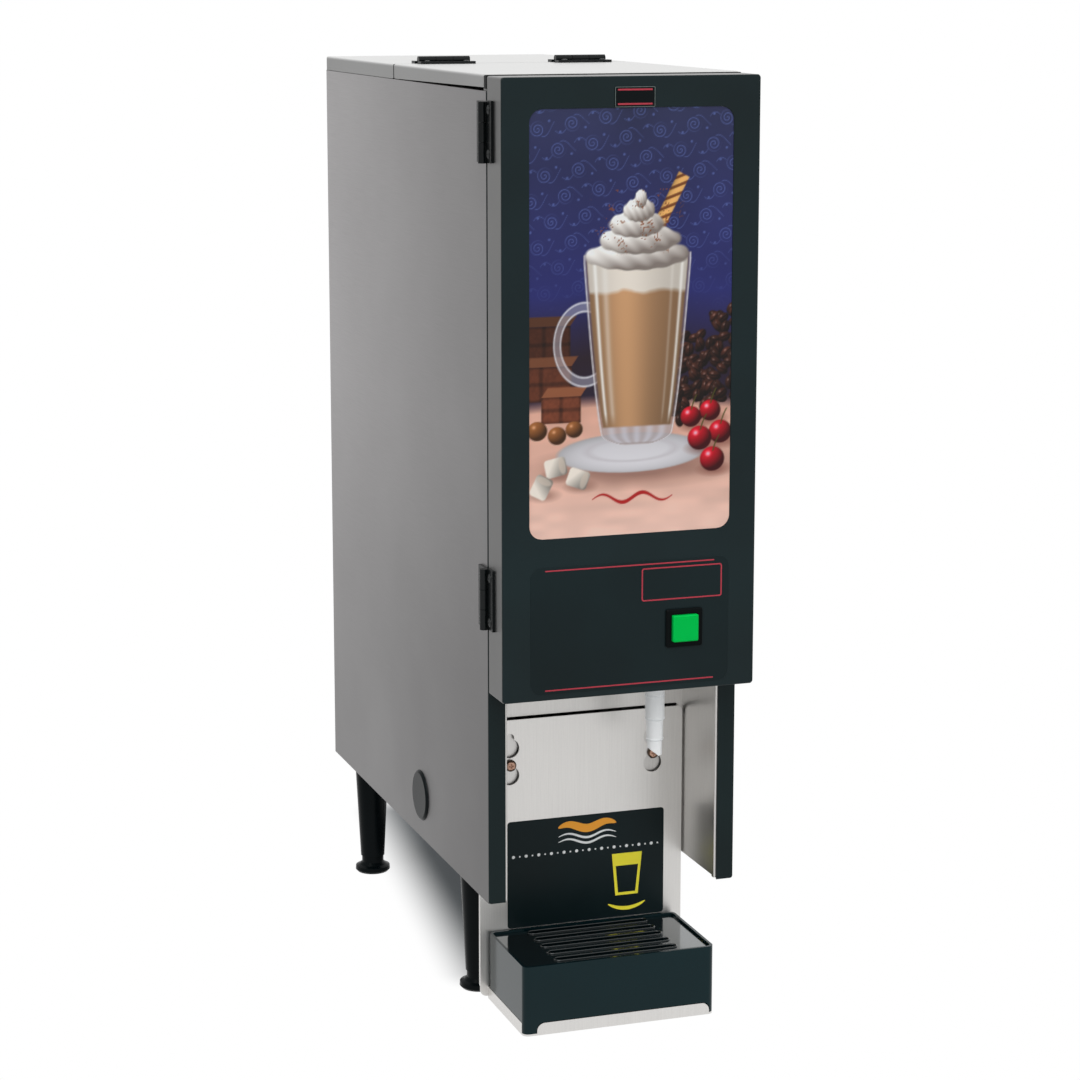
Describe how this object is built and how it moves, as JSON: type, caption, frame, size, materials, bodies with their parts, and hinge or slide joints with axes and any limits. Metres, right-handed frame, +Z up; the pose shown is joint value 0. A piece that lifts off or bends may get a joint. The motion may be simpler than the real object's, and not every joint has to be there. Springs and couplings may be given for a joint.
{
  "type": "hot chocolate dispenser machine",
  "caption": "Countertop powdered hot drink dispenser: narrow stainless cabinet on legs, hinged door with lit display and push button, hopper under a lid, drip tray.",
  "frame": {"origin": "on the table under the middle of the whole outline", "axes": "+Z up, +Y towards the back of the machine, +X to the right as seen from the front"},
  "size_m": [0.2026, 0.508, 0.7202],
  "materials": {
    "stainless_side": "brushed",
    "stainless_top": "brushed",
    "stainless_bay": "brushed",
    "stainless_door": "brushed",
    "galvanised_steel": "galvanised",
    "white_enamel": "satin",
    "motor_steel": "satin",
    "tank_steel": "brushed",
    "spring_steel": "bright",
    "black_moulding": "fine grain",
    "black_leg": "satin",
    "hinge_black": "satin",
    "door_black": "satin",
    "rocker_black": "gloss",
    "tray_black": "satin",
    "grille_black": "gloss",
    "grey_plug": "satin",
    "brass_stud": "satin",
    "brass_fitting": "satin",
    "button_green": "gloss",
    "display_film": "printed",
    "clear_lens": "clear",
    "lamp_glass": "opal",
    "white_plastic": "satin",
    "hopper_plastic": "translucent",
    "chamber_plastic": "satin",
    "nozzle_plastic": "translucent",
    "valve_plastic": "satin",
    "silicone_tube": "satin",
    "clear_rubber": "satin",
    "circuit_board": "satin"
  },
  "bodies": {
    "cabinet": {"side_panel_left": "stainless_side", "side_panel_right": "stainless_side", "back_panel": "stainless_side", "base_pan": "galvanised_steel", "rear_top_panel": "stainless_top", "front_frame": "black_moulding", "side_plug": "grey_plug", "bay_liner": "stainless_bay", "equipment_deck": "galvanised_steel", "legs": "black_leg", "hanger_studs": "brass_stud", "door_hinge_frame_leaves": "hinge_black", "hinge_pins": "spring_steel", "door_magnet": "black_moulding", "lid_hinge_rear_leaves": "hinge_black", "hopper": "hopper_plastic", "hopper_elbow": "hopper_plastic", "auger_motor": "motor_steel", "whipper_chamber": "chamber_plastic", "whipper_motor": "motor_steel", "mixing_funnel": "chamber_plastic", "steam_collector": "black_moulding", "dispense_nozzle": "nozzle_plastic", "water_tank": "tank_steel", "tank_lid": "tank_steel", "heating_element": "spring_steel", "dispense_valve": "valve_plastic", "water_tube": "silicone_tube", "inlet_valve": "brass_fitting", "cord_inlet": "black_moulding", "fan_frame": "black_moulding", "control_board": "circuit_board", "rinse_switch": "black_moulding"},
    "door": {"door_shell": "stainless_door", "door_face": "door_black", "display_film": "display_film", "display_lens": "clear_lens", "door_back_cover": "white_enamel", "lamp_tube": "lamp_glass", "lamp_holders": "white_plastic", "button_bezel": "black_moulding", "button_switch": "black_moulding", "button_spring": "spring_steel", "door_hinge_door_leaves": "hinge_black"},
    "button": {"button_cap": "button_green"},
    "lid": {"lid": "stainless_top", "lid_bumpers": "clear_rubber", "lid_hinge_front_leaves": "hinge_black"},
    "bracket": {"tray_bracket": "stainless_bay"},
    "tray": {"drip_tray": "tray_black"},
    "grille": {"drip_grille": "grille_black"},
    "auger": {"auger": "white_plastic", "auger_coupling": "black_moulding"},
    "whipper": {"whipper_impeller": "white_plastic"},
    "fan": {"fan_rotor": "black_moulding"},
    "rocker": {"rinse_rocker": "rocker_black"},
    "foot_front_left": {"foot_front_left": "black_leg"},
    "foot_front_right": {"foot_front_right": "black_leg"},
    "foot_rear_left": {"foot_rear_left": "black_leg"},
    "foot_rear_right": {"foot_rear_right": "black_leg"}
  },
  "joints": [
    {"name": "door_swing", "type": "hinge", "parent": "cabinet", "child": "door", "pos_m": [-0.0981, -0.215, 0.5], "axis": [0, 0, -1], "range_deg": [0, 110]},
    {"name": "button_press", "type": "slide", "parent": "door", "child": "button", "axis": [0, 1, 0], "range_m": [0, 0.003], "stiffness_N_per_m": 600, "springref_m": -0.002, "deforming": ["button_spring"]},
    {"name": "lid_lift", "type": "hinge", "parent": "cabinet", "child": "lid", "pos_m": [0.0033, 0.0236, 0.7173], "axis": [-1, 0, 0], "range_deg": [0, 105]},
    {"name": "bracket_lift", "type": "slide", "parent": "cabinet", "child": "bracket", "axis": [0, 0, 1], "range_m": [0, 0.0084]},
    {"name": "tray_lift", "type": "slide", "parent": "bracket", "child": "tray", "axis": [0, 0, 1], "range_m": [0, 0.06]},
    {"name": "grille_lift", "type": "slide", "parent": "tray", "child": "grille", "axis": [0, 0, 1], "range_m": [0, 0.04]},
    {"name": "auger_spin", "type": "hinge", "parent": "cabinet", "child": "auger", "pos_m": [0.0033, -0.094, 0.462], "axis": [0, 1, 0], "continuous": true},
    {"name": "whipper_spin", "type": "hinge", "parent": "cabinet", "child": "whipper", "pos_m": [0.0213, -0.154, 0.308], "axis": [0, 1, 0], "continuous": true},
    {"name": "fan_spin", "type": "hinge", "parent": "cabinet", "child": "fan", "pos_m": [0.0493, 0.221, 0.65], "axis": [0, 1, 0], "continuous": true},
    {"name": "rinse_rock", "type": "hinge", "parent": "cabinet", "child": "rocker", "pos_m": [-0.0477, -0.1365, 0.337], "axis": [1, 0, 0], "range_deg": [0, 18]},
    {"name": "level_front_left", "type": "slide", "parent": "cabinet", "child": "foot_front_left", "axis": [0, 0, -1], "range_m": [0, 0.012]},
    {"name": "level_front_right", "type": "slide", "parent": "cabinet", "child": "foot_front_right", "axis": [0, 0, -1], "range_m": [0, 0.012]},
    {"name": "level_rear_left", "type": "slide", "parent": "cabinet", "child": "foot_rear_left", "axis": [0, 0, -1], "range_m": [0, 0.012]},
    {"name": "level_rear_right", "type": "slide", "parent": "cabinet", "child": "foot_rear_right", "axis": [0, 0, -1], "range_m": [0, 0.012]}
  ]
}
